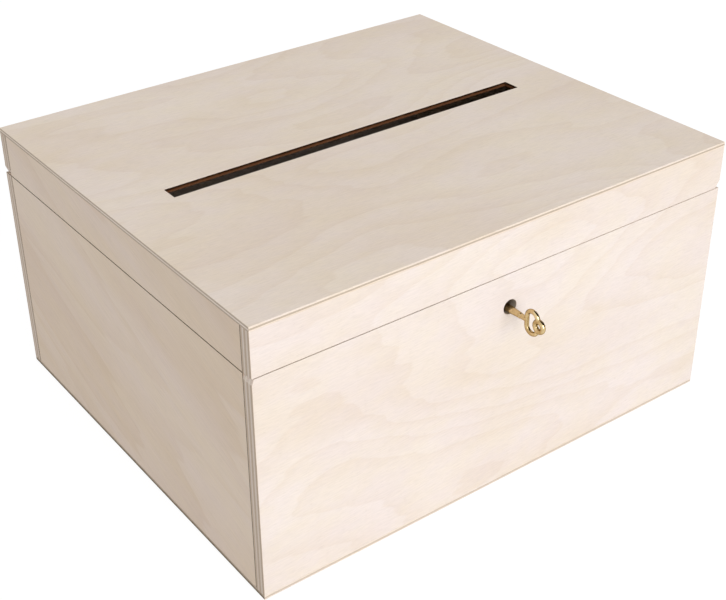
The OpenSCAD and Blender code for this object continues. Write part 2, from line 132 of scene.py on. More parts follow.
class Graph:
    """A shader node tree that is being wired."""

    def __init__(self, tree: bpy.types.NodeTree) -> None:
        """Starts on the node tree of a material, a world or a group."""
        self.tree = tree

    def node(self, kind: str, **settings: object) -> bpy.types.Node:
        """Adds a node and sets its properties.

        Args:
            kind: The node's type name.
            settings: Properties of the node, by name.

        Returns:
            The new node.
        """
        made = self.tree.nodes.new(kind)
        for name, value in settings.items():
            setattr(made, name, value)
        return made

    def feed(self, target: Socket, value: Value) -> None:
        """Links a socket to another one, or sets it to a plain value.

        Args:
            target: The input socket.
            value: An output socket, a number, or a sequence of numbers.
        """
        if isinstance(value, bpy.types.NodeSocket):
            self.tree.links.new(value, target)
        elif isinstance(value, (tuple, list)) and target.type == "RGBA" and len(value) == 3:
            target.default_value = (*value, 1.0)
        else:
            target.default_value = value

    def math(self, operation: str, a: Value, b: Value = 0.0, c: Value = 0.0) -> Socket:
        """Adds a math node.

        Args:
            operation: The node's operation.
            a: Its first value.
            b: Its second value.
            c: Its third value.

        Returns:
            The result.
        """
        made = self.node("ShaderNodeMath", operation=operation)
        for target, value in zip(made.inputs, (a, b, c)):
            self.feed(target, value)
        return made.outputs[0]

    def vector(self, operation: str, a: Value, b: Value = (0.0, 0.0, 0.0)) -> Socket:
        """Adds a vector math node.

        Args:
            operation: The node's operation.
            a: Its first vector.
            b: Its second vector.

        Returns:
            The result, a number for a dot product and a vector otherwise.
        """
        made = self.node("ShaderNodeVectorMath", operation=operation)
        self.feed(made.inputs[0], a)
        self.feed(made.inputs[1], b)
        return made.outputs["Value" if operation == "DOT_PRODUCT" else "Vector"]

    def mix(self, factor: Value, a: Value, b: Value, blend: str = "MIX") -> Socket:
        """Mixes two colours.

        Args:
            factor: How much of the second one shows.
            a: The first colour.
            b: The second colour.
            blend: The way that they mix.

        Returns:
            The mixed colour.
        """
        made = self.node("ShaderNodeMix", data_type="RGBA", blend_type=blend)
        self.feed(made.inputs[0], factor)
        self.feed(made.inputs[6], a)
        self.feed(made.inputs[7], b)
        return made.outputs[2]

    def remap(self, value: Value, low: float, high: float, to_low: float, to_high: float) -> Socket:
        """Stretches a value from one range to another, with a smooth step.

        Args:
            value: The value.
            low: Where the first range starts.
            high: Where the first range ends.
            to_low: Where the second range starts.
            to_high: Where the second range ends.

        Returns:
            The stretched value.
        """
        made = self.node("ShaderNodeMapRange", interpolation_type="SMOOTHSTEP")
        for target, given in zip(made.inputs, (value, low, high, to_low, to_high)):
            self.feed(target, given)
        return made.outputs[0]

    def noise(self, at: Socket, stretch: Sequence[float], detail: float = 2.0, rough: float = 0.5) -> Socket:
        """Adds noise that is stretched along the axes.

        Args:
            at: The place, in metres.
            stretch: Cycles per metre along each axis.
            detail: Octaves of finer noise.
            rough: How strong the finer octaves are.

        Returns:
            The noise, from 0 to 1 around a half.
        """
        made = self.node("ShaderNodeTexNoise")
        self.feed(made.inputs["Vector"], self.vector("MULTIPLY", at, tuple(stretch)))
        self.feed(made.inputs["Scale"], 1.0)
        self.feed(made.inputs["Detail"], detail)
        self.feed(made.inputs["Roughness"], rough)
        return made.outputs["Fac"]

    def split(self, vector: Value) -> tuple[Socket, Socket, Socket]:
        """Takes a vector apart into its three numbers."""
        made = self.node("ShaderNodeSeparateXYZ")
        self.feed(made.inputs[0], vector)
        return made.outputs[0], made.outputs[1], made.outputs[2]

    def join(self, x: Value, y: Value, z: Value) -> Socket:
        """Puts three numbers together into a vector."""
        made = self.node("ShaderNodeCombineXYZ")
        for target, value in zip(made.inputs, (x, y, z)):
            self.feed(target, value)
        return made.outputs[0]

    def place(self, group: bpy.types.NodeTree, **values: Value) -> bpy.types.Node:
        """Places a node group and feeds its inputs.

        Args:
            group: The group's tree.
            values: Values of its inputs, by name.

        Returns:
            The group's node.
        """
        made = self.node("ShaderNodeGroup", node_tree=group)
        for name, value in values.items():
            self.feed(made.inputs[name], value)
        return made


def new_group(name: str, inputs: dict[str, str], outputs: dict[str, str]) -> tuple[Graph, bpy.types.Node]:
    """Starts a shader node group.

    Args:
        name: The group's name.
        inputs: Its inputs, name to socket kind.
        outputs: Its outputs, name to socket kind.

    Returns:
        The graph of the group, and its input node.
    """
    tree = bpy.data.node_groups.new(name, "ShaderNodeTree")
    for way, sockets in (("INPUT", inputs), ("OUTPUT", outputs)):
        for label, kind in sockets.items():
            tree.interface.new_socket(label, in_out=way, socket_type="NodeSocket" + kind)
    graph = Graph(tree)
    return graph, graph.node("NodeGroupInput")


def close_group(graph: Graph, **results: Value) -> bpy.types.NodeTree:
    """Ends a node group by feeding its outputs.

    Args:
        graph: The graph of the group.
        results: The values of its outputs, by name.

    Returns:
        The finished group.
    """
    end = graph.node("NodeGroupOutput")
    for name, value in results.items():
        graph.feed(end.inputs[name], value)
    return graph.tree


def grain_group() -> bpy.types.NodeTree:
    """Makes the figure of rotary-cut birch: contour bands, mottle, fibres and short pores.

    Returns:
        A group that reads a place with its first axis along the grain.
    """
    g, start = new_group(
        "birch_grain",
        {"Place": "Vector", "Seed": "Float"},
        {"Figure": "Float", "Tone": "Float", "Mottle": "Float", "Fibre": "Float", "Pore": "Float"},
    )
    seed = g.math("MULTIPLY", start.outputs["Seed"], 3.7)
    at = g.vector("ADD", start.outputs["Place"], g.join(seed, g.math("MULTIPLY", seed, 0.61), 0.0))
    hills = g.noise(at, Pitch.HILLS.value, 1.0, 0.4)
    ripple = g.noise(at, Pitch.RIPPLE.value, 2.0, 0.5)
    contour = g.math("MULTIPLY_ADD", hills, 15.0, g.math("MULTIPLY", ripple, 1.1))
    saw = g.math("FRACT", contour)
    band = g.math("POWER", saw, 2.2)
    edge = g.remap(saw, 0.93, 1.0, 1.0, 0.0)
    figure = g.math("MULTIPLY", band, edge)
    tone = g.noise(at, Pitch.TONE.value, 3.0, 0.55)
    mottle = g.noise(at, Pitch.MOTTLE.value, 3.0, 0.7)
    fibre = g.noise(at, Pitch.FIBRE.value, 2.0, 0.6)
    dash = g.noise(at, Pitch.PORE.value, 0.0, 0.5)
    pore = g.remap(dash, 0.66, 0.76, 0.0, 1.0)
    return close_group(g, Figure=figure, Tone=tone, Mottle=mottle, Fibre=fibre, Pore=pore)


def plywood_group(grain: bpy.types.NodeTree) -> bpy.types.NodeTree:
    """Makes solid plywood: plies of crossing grain, seen on faces, edges and bevels alike.

    Args:
        grain: The group that draws one ply's grain.

    Returns:
        A group whose place has its first axis along the face grain and its third across the plies.
    """
    g, start = new_group(
        "plywood",
        {
            "Place": "Vector", "Normal": "Vector", "Thickness": "Float", "Plies": "Float",
            "Seed": "Float", "Contrast": "Float", "Edge": "Float",
            "Pale": "Color", "Warm": "Color", "End": "Color", "Glue": "Color",
        },
        {"Color": "Color", "Roughness": "Float", "Height": "Float"},
    )
    into = start.outputs
    along, across, depth = g.split(into["Place"])
    waver = g.noise(into["Place"], Pitch.WAVER.value, 1.0)
    ply_t = g.math("DIVIDE", into["Thickness"], into["Plies"])
    level = g.math("DIVIDE", depth, ply_t)
    level = g.math("ADD", level, g.math("MULTIPLY_ADD", waver, 0.36, -0.18))
    top_ply = g.math("SUBTRACT", into["Plies"], 1.0)
    ply = g.math("MINIMUM", g.math("MAXIMUM", g.math("FLOOR", level), 0.0), top_ply)
    crossed = g.math("MODULO", ply, 2.0)

    swapped = g.join(across, along, depth)
    turned = g.node("ShaderNodeMix", data_type="VECTOR")
    g.feed(turned.inputs[0], crossed)
    g.feed(turned.inputs[4], into["Place"])
    g.feed(turned.inputs[5], swapped)
    own_seed = g.math("MULTIPLY_ADD", ply, 1.9, into["Seed"])
    drawn = g.place(grain, Place=turned.outputs[1], Seed=own_seed)

    n_along, n_across, n_depth = g.split(into["Normal"])
    facing = g.math("ABSOLUTE", g.math("ADD",
        g.math("MULTIPLY", n_along, g.math("SUBTRACT", 1.0, crossed)),
        g.math("MULTIPLY", n_across, crossed)))
    on_end = g.remap(facing, 0.25, 0.85, 0.0, 1.0)
    on_edge = g.remap(g.math("ABSOLUTE", n_depth), 0.3, 0.8, 1.0, 0.0)

    warm = g.math("MULTIPLY_ADD", drawn.outputs["Figure"], 0.42,
                  g.remap(drawn.outputs["Tone"], 0.3, 0.72, 0.0, 0.6))
    warm = g.math("MULTIPLY_ADD", g.math("SUBTRACT", warm, 0.4), into["Contrast"], 0.4)
    colour = g.mix(warm, into["Pale"], into["Warm"])
    mottle = g.remap(drawn.outputs["Mottle"], 0.3, 0.7, 0.0, 1.0)
    tint = g.mix(mottle, (0.998, 0.998, 1.036), (1.002, 1.000, 0.965))
    colour = g.mix(1.0, colour, tint, "MULTIPLY")
    fibre = g.remap(drawn.outputs["Fibre"], 0.25, 0.75, 0.955, 1.03)
    colour = g.mix(1.0, colour, g.join(fibre, fibre, fibre), "MULTIPLY")
    colour = g.mix(g.math("MULTIPLY", drawn.outputs["Pore"], 0.10), colour, into["Glue"])
    tubes = g.noise(into["Place"], Pitch.TUBES.value, 1.0)
    end_colour = g.mix(g.remap(tubes, 0.35, 0.7, 0.0, 0.25), into["End"], into["Glue"])
    colour = g.mix(g.math("MULTIPLY", on_edge, into["Edge"]), colour, into["End"])
    colour = g.mix(on_end, colour, end_colour)
    step = g.math("FRACT", level)
    line = g.math("MINIMUM", step, g.math("SUBTRACT", 1.0, step))
    glue = g.math("MULTIPLY", g.remap(line, 0.02, 0.07, 0.30, 0.0), on_edge)
    colour = g.mix(glue, colour, into["Glue"])

    rough = g.math("MULTIPLY_ADD", drawn.outputs["Fibre"], 0.10, 0.56)
    rough = g.math("MULTIPLY_ADD", on_end, 0.2, rough)
    pits = g.math("MULTIPLY", drawn.outputs["Pore"], -0.8)
    height = g.math("MULTIPLY_ADD", drawn.outputs["Fibre"], 0.6, pits)
    height = g.math("ADD", height, g.math("MULTIPLY", g.math("MULTIPLY", tubes, on_end), 0.8))
    return close_group(g, Color=colour, Roughness=rough, Height=height)


def scuff_group() -> bpy.types.NodeTree:
    """Makes the wear of worked metal: rolling lines, cloudy tarnish and hairline scratches.

    Returns:
        A group that reads a place in metres.
    """
    g, start = new_group(
        "metal_scuff",
        {"Place": "Vector", "Lines": "Vector"},
        {"Cloud": "Float", "Streak": "Float", "Scratch": "Float"},
    )
    at = start.outputs["Place"]
    cloud = g.remap(g.noise(at, (170.0, 170.0, 170.0), 3.0, 0.6), 0.35, 0.7, 0.0, 1.0)
    streak = g.noise(g.vector("MULTIPLY", at, start.outputs["Lines"]), (1.0, 1.0, 1.0), 2.0, 0.6)
    thin = g.noise(at, (900.0, 240.0, 3000.0), 0.0)
    scratch = g.remap(thin, 0.7, 0.78, 0.0, 1.0)
    return close_group(g, Cloud=cloud, Streak=streak, Scratch=scratch)


GRAIN = grain_group()
PLYWOOD = plywood_group(GRAIN)
SCUFF = scuff_group()


# Finishes ------------


def new_material(name: str) -> tuple[bpy.types.Material, Graph, bpy.types.Node]:
    """Starts a material with a Principled shader.

    Args:
        name: The material's name.

    Returns:
        The material, its graph and its shader.
    """
    material = bpy.data.materials.new(name)
    material.use_nodes = True
    material.node_tree.nodes.clear()
    g = Graph(material.node_tree)
    shader = g.node("ShaderNodeBsdfPrincipled")
    end = g.node("ShaderNodeOutputMaterial")
    g.feed(end.inputs["Surface"], shader.outputs[0])
    return material, g, shader


def add_bump(g: Graph, shader: bpy.types.Node, height: Socket, distance: float, strength: float) -> None:
    """Feeds a shader's normal from a height.

    Args:
        g: The material's graph.
        shader: The shader.
        height: The height, from 0 to about 1.
        distance: The height of 1, in metres.
        strength: How strongly it shows.
    """
    bump = g.node("ShaderNodeBump")
    g.feed(bump.inputs["Strength"], strength)
    g.feed(bump.inputs["Distance"], distance)
    g.feed(bump.inputs["Height"], height)
    g.feed(shader.inputs["Normal"], bump.outputs[0])


@dataclass(frozen=True)
class BoardFinish:
    """The finish of a birch plywood board or panel.

    Args:
        name: The material's name.
        grain: The axis that the face grain runs along.
        through: The axis across the plies.
        outside: Where the outer face lies on that axis, in metres.
        inward: 1 if the board lies above its outer face on that axis, -1 if below.
        thickness: The board's thickness, in metres.
        plies: The number of plies.
        seed: Shifts the wood's pattern, so that each board has a figure of its own.
        slant: Angle between the grain and its axis, in degrees.
        contrast: How strongly the figure shows.
        edge: How much of the end grain's colour the long grain takes on the board's edges.
        sheet: The painted-light tint of the side of the box that the board faces.
        streak: How much longer than usual its figure is along the grain.
        pale: The colour between the bands of the figure.
        warm: The colour of the bands.
        end: The colour of the end grain.
        glue: The colour of the glue lines and the pores.
    """

    name: str
    grain: Axis
    through: Axis
    outside: float
    inward: float
    thickness: float
    plies: int
    seed: float
    slant: float = 0.0
    contrast: float = 1.0
    edge: float = 0.35
    sheet: LightTint = LightTint.BARE
    streak: float = 1.0
    pale: tuple[float, float, float] = (0.850, 0.752, 0.662)
    warm: tuple[float, float, float] = (0.790, 0.672, 0.560)
    end: tuple[float, float, float] = (0.610, 0.485, 0.375)
    glue: tuple[float, float, float] = (0.330, 0.235, 0.160)

    def place(self, g: Graph, source: Socket, moved: bool) -> Socket:
        """Turns a vector from the box's axes to the board's.

        Args:
            g: The material's graph.
            source: The vector along the box's axes.
            moved: True for a place, which also starts at the outer face.

        Returns:
            The vector along the grain, across it and into the board.
        """
        parts = g.split(source)
        cross_axis = ({0, 1, 2} - {self.grain.value, self.through.value}).pop()
        along, across, depth = parts[self.grain.value], parts[cross_axis], parts[self.through.value]
        if moved:
            depth = g.math("SUBTRACT", depth, self.outside)
        depth = g.math("MULTIPLY", depth, self.inward)
        turn = math.radians(self.slant)
        cos, sin = math.cos(turn), math.sin(turn)
        turned_along = g.math("MULTIPLY_ADD", along, cos, g.math("MULTIPLY", across, sin))
        turned_across = g.math("MULTIPLY_ADD", across, cos, g.math("MULTIPLY", along, -sin))
        if moved:
            turned_along = g.math("DIVIDE", turned_along, self.streak)
        return g.join(turned_along, turned_across, depth)

    def tinted(self, colour: tuple[float, float, float]) -> tuple[float, ...]:
        """Gives a colour the painted-light tint of the board's side."""
        return tuple(part * tint for part, tint in zip(colour, self.sheet.value))

    def make(self) -> bpy.types.Material:
        """Makes the material."""
        material, g, shader = new_material(self.name)
        where = g.node("ShaderNodeTexCoord")
        wood = g.place(
            PLYWOOD,
            Place=self.place(g, where.outputs["Object"], True),
            Normal=self.place(g, where.outputs["Normal"], False),
            Thickness=self.thickness, Plies=float(self.plies), Seed=self.seed, Contrast=self.contrast,
            Edge=self.edge, Pale=self.tinted(self.pale), Warm=self.tinted(self.warm),
            End=self.end, Glue=self.glue,
        )
        g.feed(shader.inputs["Base Color"], wood.outputs["Color"])
        g.feed(shader.inputs["Roughness"], wood.outputs["Roughness"])
        shader.inputs["Specular IOR Level"].default_value = 0.3
        add_bump(g, shader, wood.outputs["Height"], 0.05 * MM, 0.35)
        return material


@dataclass(frozen=True)
class CharAndShadeFinish:
    """A finish that grows from dark to light along one axis, with blotches. It is laser char on the slot's
    walls; on the keyhole, the seams and the side lips it is char with painted shade; on the front and back
    lips and the bottom panel's edge it is painted shade.

    Args:
        name: The material's name.
        through: The axis that it grows lighter along.
        darkest_at: Where it is darkest on that axis, in metres.
        clean: Where it is lightest.
        dark: The colour at its dark end.
        light: The colour at its light end.
        gloss: How much it mirrors.
    """

    name: str
    through: Axis
    darkest_at: float
    clean: float
    dark: tuple[float, float, float]
    light: tuple[float, float, float]
    gloss: float = 0.0

    def make(self) -> bpy.types.Material:
        """Makes the material."""
        material, g, shader = new_material(self.name)
        at = g.node("ShaderNodeTexCoord").outputs["Object"]
        blotches = g.noise(at, (300.0, 300.0, 300.0), 3.0, 0.6)
        # This fade from dark to light is laser char on the slot, and painted shade, alone or over char, in
        # the other uses.
        fade = g.remap(g.split(at)[self.through.value], self.darkest_at, self.clean, 0.0, 1.0)
        shade = g.math("MULTIPLY_ADD", g.math("SUBTRACT", blotches, 0.5), 0.9, fade)
        colour = g.mix(g.remap(shade, 0.1, 0.9, 0.0, 1.0), self.dark, self.light)
        g.feed(shader.inputs["Base Color"], colour)
        g.feed(shader.inputs["Roughness"], g.remap(blotches, 0.3, 0.7, 0.62, 0.85))
        shader.inputs["Specular IOR Level"].default_value = self.gloss
        add_bump(g, shader, blotches, 0.06 * MM, 0.5)
        return material


@dataclass(frozen=True)
class MetalFinish:
    """A worked metal with cloudy tarnish, rolling or polishing lines and fine scratches.

    Args:
        name: The material's name.
        bright: The colour of clean metal.
        dull: The colour of tarnish, which gathers in clouds.
        rough: Roughness of clean metal.
        rough_dull: Roughness of tarnished metal.
        lines: Cycles per metre of the working lines along each axis.
        rim: The metal's tint at a glancing angle; on the key it is dark, a painted dark reflection along the
            contours.
        depth: Depth of the lines, in metres.
    """

    name: str
    bright: tuple[float, float, float]
    dull: tuple[float, float, float]
    rough: float
    rough_dull: float
    lines: tuple[float, float, float]
    rim: tuple[float, float, float] = (0.60, 0.55, 0.48)
    depth: float = 0.01 * MM

    def make(self) -> bpy.types.Material:
        """Makes the material."""
        material, g, shader = new_material(self.name)
        at = g.node("ShaderNodeTexCoord").outputs["Object"]
        worn = g.place(SCUFF, Place=at, Lines=self.lines)
        cloud, streak, scratch = (worn.outputs[name] for name in ("Cloud", "Streak", "Scratch"))
        stain = g.math("MULTIPLY_ADD", cloud, 0.75, g.math("MULTIPLY", streak, 0.25))
        colour = g.mix(stain, self.bright, self.dull)
        g.feed(shader.inputs["Base Color"], g.mix(g.math("MULTIPLY", scratch, 0.3), colour, self.bright))
        rough = g.math("MULTIPLY_ADD", stain, self.rough_dull - self.rough, self.rough)
        g.feed(shader.inputs["Roughness"], g.math("MULTIPLY_ADD", scratch, 0.08, rough))
        shader.inputs["Metallic"].default_value = 1.0
        shader.inputs["Specular Tint"].default_value = (*self.rim, 1.0)
        add_bump(g, shader, g.math("SUBTRACT", streak, g.math("MULTIPLY", scratch, 0.6)), self.depth, 0.4)
        return material


# Modelling ------------


def take(obj: bpy.types.Object) -> None:
    """Makes an object the only one selected, and the active one."""
    bpy.ops.object.select_all(action="DESELECT")
    obj.select_set(True)
    bpy.context.view_layer.objects.active = obj


def merged_copy(node: str, name: str) -> bpy.types.Object:
    """Copies a CAD node with a mesh of its own, its triangles merged back into whole faces.

    Args:
        node: The CAD node.
        name: The new piece's name.

    Returns:
        The new piece.
    """
    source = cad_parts[node]
    copy = bpy.data.objects.new(name, source.data.copy())
    bpy.context.scene.collection.objects.link(copy)
    copy.matrix_world = source.matrix_world.copy()
    take(copy)
    if copy.data.has_custom_normals:
        bpy.ops.mesh.customdata_custom_splitnormals_clear()
    bpy.ops.object.mode_set(mode="EDIT")
    bpy.ops.mesh.select_all(action="SELECT")
    bpy.ops.mesh.remove_doubles(threshold=0.001 * MM)
    bpy.ops.mesh.dissolve_limited(angle_limit=math.radians(0.5))
    bpy.ops.object.mode_set(mode="OBJECT")
    return copy


def chamfer(obj: bpy.types.Object, width: float, test: EdgeTest, finish: Finish = Finish.NEIGHBOUR) -> None:
    """Eases the edges that pass a test, as with fine sandpaper.

    Args:
        obj: The piece.
        width: The width of the eased edge on each face, in metres.
        test: Tells from its two ends whether an edge is eased.
        finish: Which of the piece's materials the eased edge takes.
    """
    take(obj)
    bpy.ops.object.mode_set(mode="EDIT")
    bpy.ops.mesh.select_mode(type="EDGE")
    bpy.ops.mesh.select_all(action="DESELECT")
    mesh = bmesh.from_edit_mesh(obj.data)
    found = False
    for edge in mesh.edges:
        folded = len(edge.link_faces) == 2 and edge.calc_face_angle() > FOLD
        if folded and test(edge.verts[0].co, edge.verts[1].co):
            edge.select_set(True)
            found = True
    bmesh.update_edit_mesh(obj.data)
    if found:
        bpy.ops.mesh.bevel(offset_type="OFFSET", offset=width, segments=1, clamp_overlap=True,
                           loop_slide=False, material=finish.value)
    bpy.ops.object.mode_set(mode="OBJECT")


def shift(obj: bpy.types.Object, test: PointTest, by: Vector) -> None:
    """Moves the corners of a piece that pass a test.

    Args:
        obj: The piece.
        test: Tells if a corner is moved.
        by: How far it is moved, in metres.
    """
    take(obj)
    bpy.ops.object.mode_set(mode="EDIT")
    bpy.ops.mesh.select_mode(type="VERT")
    bpy.ops.mesh.select_all(action="DESELECT")
    mesh = bmesh.from_edit_mesh(obj.data)
    for corner in mesh.verts:
        if test(corner.co):
            corner.select_set(True)
    mesh.select_flush_mode()
    bmesh.update_edit_mesh(obj.data)
    bpy.ops.transform.translate(value=by)
    bpy.ops.object.mode_set(mode="OBJECT")


def plane_left_end(board: bpy.types.Object, width: float, height: float) -> None:
    """Sets the size of the bevel that a board has on its left end, at the joint above it.

    Args:
        board: The board.
        width: The width of the bevel on the joint's face, in metres.
        height: The height of the bevel on the end, in metres.
    """
    corners = [vertex.co for vertex in board.data.vertices]
    end = min(corner.x for corner in corners)
    top = max(corner.z for corner in corners)
    first = min(corner.x for corner in corners if corner.z > top - NEAR)
    last = max(corner.z for corner in corners if corner.x < end + NEAR)
    aside = Vector((end + width - first, 0.0, 0.0))
    shift(board, lambda at: at.z > top - NEAR and at.x < first + NEAR, aside)
    upright = Vector((0.0, 0.0, top - height - last))
    shift(board, lambda at: at.x < end + NEAR and at.z > last - NEAR, upright)


def smooth(obj: bpy.types.Object, degrees: float) -> None:
    """Shades a piece smooth where its faces meet at less than an angle."""
    take(obj)
    bpy.ops.object.shade_smooth_by_angle(angle=math.radians(degrees))


def dress(obj: bpy.types.Object, *materials: bpy.types.Material) -> None:
    """Gives an object its materials, the first of them on every face."""
    obj.data.materials.clear()
    for material in materials:
        obj.data.materials.append(material)
    obj.data.polygons.foreach_set("material_index", [0] * len(obj.data.polygons))


def paint(obj: bpy.types.Object, material: bpy.types.Material, test: FaceTest) -> int:
    """Gives the faces that pass a test a finish of their own.

    Args:
        obj: The piece.
        material: The finish.
        test: Tells if a face gets it.

    Returns:
        The number of faces that got it.
    """
    obj.data.materials.append(material)
    index = len(obj.data.materials) - 1
    chosen = [face for face in obj.data.polygons if test(face)]
    for face in chosen:
        face.material_index = index
    return len(chosen)


def settle(obj: bpy.types.Object, body: Body, slot: Slot, *nodes: str) -> None:
    """Hands a finished piece over: hides the nodes that it stands for and puts it on the body that it rides
    on.

    Args:
        obj: The piece.
        body: The body that it rides on.
        slot: Not used.
        nodes: The CAD nodes that it stands for.
    """
    if nodes:
        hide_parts(*nodes)
    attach(obj, body.value)
    log.info("%s rides on %s, %d faces", obj.name, body.value, len(obj.data.polygons))


# The box ------------


@dataclass(frozen=True)
class Envelope:
    """The outer planes of the closed box and the plane of its joint, in metres.

    Args:
        low: The lowest corner of the boards.
        high: The highest corner of the boards.
        joint: The height of the joint between base and lid.
        gap: Half the height of the joint, with a little to spare.
    """

    low: Vector
    high: Vector
    joint: float
    gap: float = 0.2 * MM

    def planes_of(self, point: Vector) -> set[str]:
        """Names the outer planes that a point lies on."""
        found = {f"{axis}-" for axis in range(3) if abs(point[axis] - self.low[axis]) < NEAR}
        found |= {f"{axis}+" for axis in range(3) if abs(point[axis] - self.high[axis]) < NEAR}
        if abs(point.z - self.joint) < self.gap:
            found.add("joint")
        return found

    def shared(self, a: Vector, b: Vector) -> set[str]:
        """Names the outer planes that an edge lies on, from its two ends."""
        return self.planes_of(a) & self.planes_of(b)

    def is_arris(self, a: Vector, b: Vector) -> bool:
        """Tells if an edge is an outer corner of the closed box."""
        return len(self.shared(a, b) - {"joint"}) >= 2

    def is_lip(self, a: Vector, b: Vector) -> bool:
        """Tells if an edge is an outer corner along the joint."""
        return "joint" in self.shared(a, b) and len(self.shared(a, b)) == 2

    def is_meeting(self, a: Vector, b: Vector) -> bool:
        """Tells if an edge is where two glued pieces meet on the outside."""
        shared = self.shared(a, b)
        return len(shared) == 1 and not shared & {"joint", "2+", "2-"} and (a - b).length > 10.0 * MM

    def is_board_seam(self, a: Vector, b: Vector) -> bool:
        """Tells if an edge is an upright seam between two boards."""
        return self.is_meeting(a, b) and abs(a.z - b.z) > NEAR

    def is_panel_seam(self, a: Vector, b: Vector) -> bool:
        """Tells if an edge is a level seam between a board and a panel."""
        return self.is_meeting(a, b) and abs(a.z - b.z) < NEAR

    def is_rim(self, a: Vector, b: Vector) -> bool:
        """Tells if an edge is the rim of an opening in the top or in the front."""
        shared = self.shared(a, b)
        return shared == {"2+"} or (shared == {"1-"} and (a - b).length < 10.0 * MM)


@dataclass
class Boards:
    """The boards and panels of the base or of the lid.

    Args:
        body: The body that they ride on.
        finishes: The finish of each board, by its CAD node.
        char_and_painted_shade: The finish of the upright seams and the side lips: the laser's char, made
            darker still as painted shade in the grooves.
        rubbed: The finish of the front and back lips: painted shade of the joint, dark towards the left,
            where the real gap is wider.
        envelope: The box's outer planes.
        arris: Width of the sanded outer corners, in metres.
        lip: The same along the joint, on the front and the back.
        side_lip: The same along the joint, on the sides.
        board_seam: Width of each half of the groove where two boards meet.
        panel_seam: Width of each half of the groove where a board meets a panel.
        rim: Width of the eased edge round an opening.
        smoothing: Angle in degrees under which faces are shaded as one.
        planed: Width and height of the bevel on a board's left end, where it is a size of its own.
    """

    body: Body
    finishes: dict[str, bpy.types.Material]
    char_and_painted_shade: bpy.types.Material
    rubbed: bpy.types.Material
    envelope: Envelope
    arris: float = 0.15 * MM
    lip: float = 0.35 * MM
    side_lip: float = 0.20 * MM
    board_seam: float = 0.18 * MM
    panel_seam: float = 0.08 * MM
    rim: float = 0.15 * MM
    smoothing: float = 12.0
    planed: dict[str, tuple[float, float]] = field(default_factory=dict)

    def build(self) -> dict[str, bpy.types.Object]:
        """Models every board from its node and dresses it.

        Returns:
            The boards, by CAD node.
        """
        made = {}
        for node, material in self.finishes.items():
            board = merged_copy(node, node + "_wood")
            dress(board, material, self.char_and_painted_shade, self.rubbed)
            if node in self.planed:
                plane_left_end(board, *self.planed[node])
            at_side = "left" in node or "right" in node
            # Side lips take laser char with painted shade of the joint; front and back lips take painted
            # shade of the joint.
            lip, finish = (self.side_lip, Finish.BURNT) if at_side else (self.lip, Finish.RUBBED)
            chamfer(board, self.rim, self.envelope.is_rim)
            chamfer(board, self.board_seam, self.envelope.is_board_seam, Finish.BURNT)
            chamfer(board, self.panel_seam, self.envelope.is_panel_seam)
            chamfer(board, lip, self.envelope.is_lip, finish)
            chamfer(board, self.arris, self.envelope.is_arris)
            smooth(board, self.smoothing)
            settle(board, self.body, Slot.PLYWOOD, node)
            made[node] = board
        return made


@dataclass(frozen=True)
class LaserCut:
    """A wall that a laser cut, inside an opening or on a panel's edge, with a finish of its own: char in the
    openings, painted shade on the bottom panel's edge.

    Args:
        board: The board.
        through: The axis that the laser ran along.
        low: Lowest place of its walls on each axis.
        high: Highest place of its walls on each axis.
        material: The finish of the walls.
    """

    board: bpy.types.Object
    through: Axis
    low: Vector
    high: Vector
    material: bpy.types.Material

    def holds(self, face: bpy.types.MeshPolygon) -> bool:
        """Tells if a face is one of the cut's walls."""
        others = [axis for axis in range(3) if axis != self.through.value]
        inside = all(self.low[axis] - NEAR < face.center[axis] < self.high[axis] + NEAR for axis in others)
        return inside and abs(face.normal[self.through.value]) < 0.5

    def finish_walls(self) -> None:
        """Gives the walls their own finish."""
        count = paint(self.board, self.material, self.holds)
        log.info("%s has %d burnt walls", self.board.name, count)


def is_end_bevel(face: bpy.types.MeshPolygon) -> bool:
    """Tells if a board's face is the bevel on its end, at the joint."""
    return face.area > 1.0 * MM * MM and min(abs(face.normal.x), abs(face.normal.z)) > 0.3


@dataclass
class Hardware:
    """Metal pieces that share a finish and keep the meshes of their nodes.

    Args:
        material: Their finish.
        nodes: Their CAD nodes.
    """

    material: bpy.types.Material
    nodes: tuple[str, ...]

    def build(self) -> None:
        """Dresses the pieces."""
        for node in self.nodes:
            dress(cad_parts[node], self.material)
            log.info("%s dressed as it is", node)


@dataclass
class CastKey:
    """The key, its bent bow and shank run together as in a casting.

    Args:
        material: Its finish.
        grain: Size of the remesh that runs its forms together, in metres.
        rounds: Rounds of smoothing that fill the inner corners.
        pull: How far each round moves a corner towards its neighbours, from 0 to 1.
    """

    material: bpy.types.Material
    grain: float = 0.13 * MM
    rounds: int = 6
    pull: float = 0.5

    def build(self) -> None:
        """Models the key and dresses it."""
        key = merged_copy("key", "key_casting")
        remesh = key.modifiers.new("run_together", "REMESH")
        remesh.mode = "VOXEL"
        remesh.voxel_size = self.grain
        bpy.ops.object.modifier_apply(modifier=remesh.name)
        fillet = key.modifiers.new("fillet", "SMOOTH")
        fillet.factor = self.pull
        fillet.iterations = self.rounds
        bpy.ops.object.modifier_apply(modifier=fillet.name)
        bpy.ops.object.shade_smooth()
        dress(key, self.material)
        settle(key, Body.KEY, Slot.KEY, "key")


# Studio ------------


